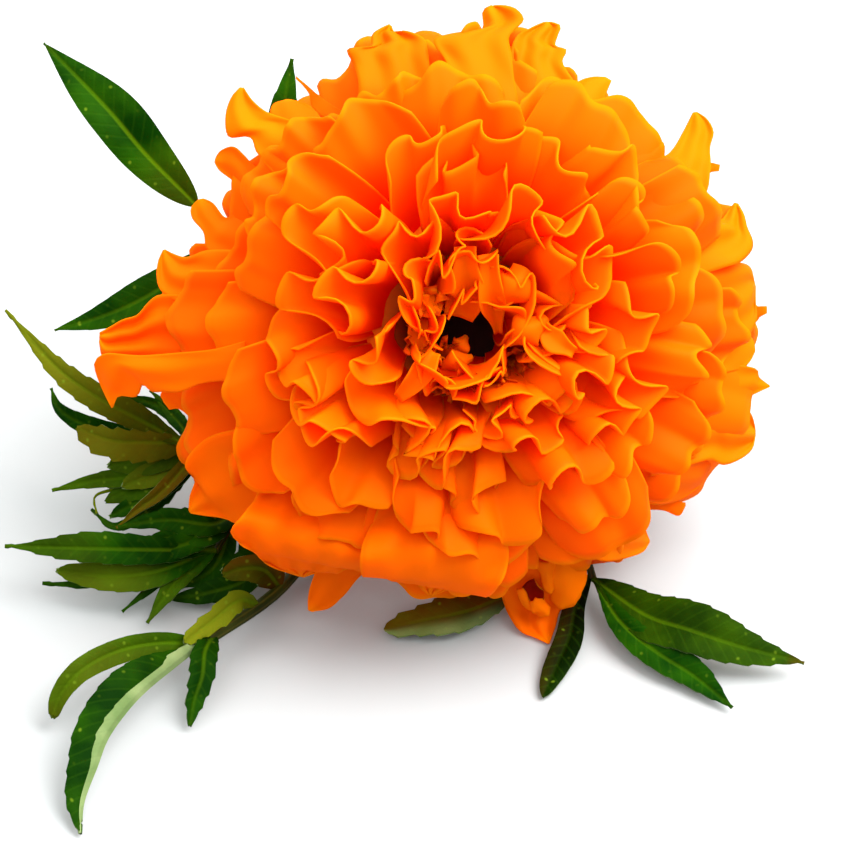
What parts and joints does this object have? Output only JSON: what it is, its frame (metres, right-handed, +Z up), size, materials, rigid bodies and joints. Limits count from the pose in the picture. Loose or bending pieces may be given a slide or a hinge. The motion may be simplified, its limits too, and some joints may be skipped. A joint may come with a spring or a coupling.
{
  "type": "marigold flower",
  "caption": "Double orange marigold bloom with ruffled petals, a green cup, a short cut stem and toothed feathery leaves, lying on its side.",
  "frame": {"origin": "on the surface that the flower lies on, under the middle of its box", "axes": "+Z up from the surface; the bloom faces -Y and upwards, and the stem runs back along +Y; +X is to the right of the bloom seen from the front"},
  "size_m": [0.094, 0.123, 0.0627],
  "materials": {
    "petal": "soft, thin, slightly translucent petals",
    "young_floret": "soft brownish-orange young florets",
    "calyx": "smooth, ribbed, waxy green",
    "stem": "ridged, waxy green",
    "leaf": "soft satin green with a paler midrib"
  },
  "bodies": {
    "root": {"bloom": "petal", "heart": "young_floret", "calyx": "calyx", "stem": "stem", "leaf_1": "leaf", "leaf_2": "leaf", "leaf_3": "leaf", "leaf_4": "leaf", "leaf_5": "leaf", "leaf_6": "leaf"}
  },
  "joints": []
}
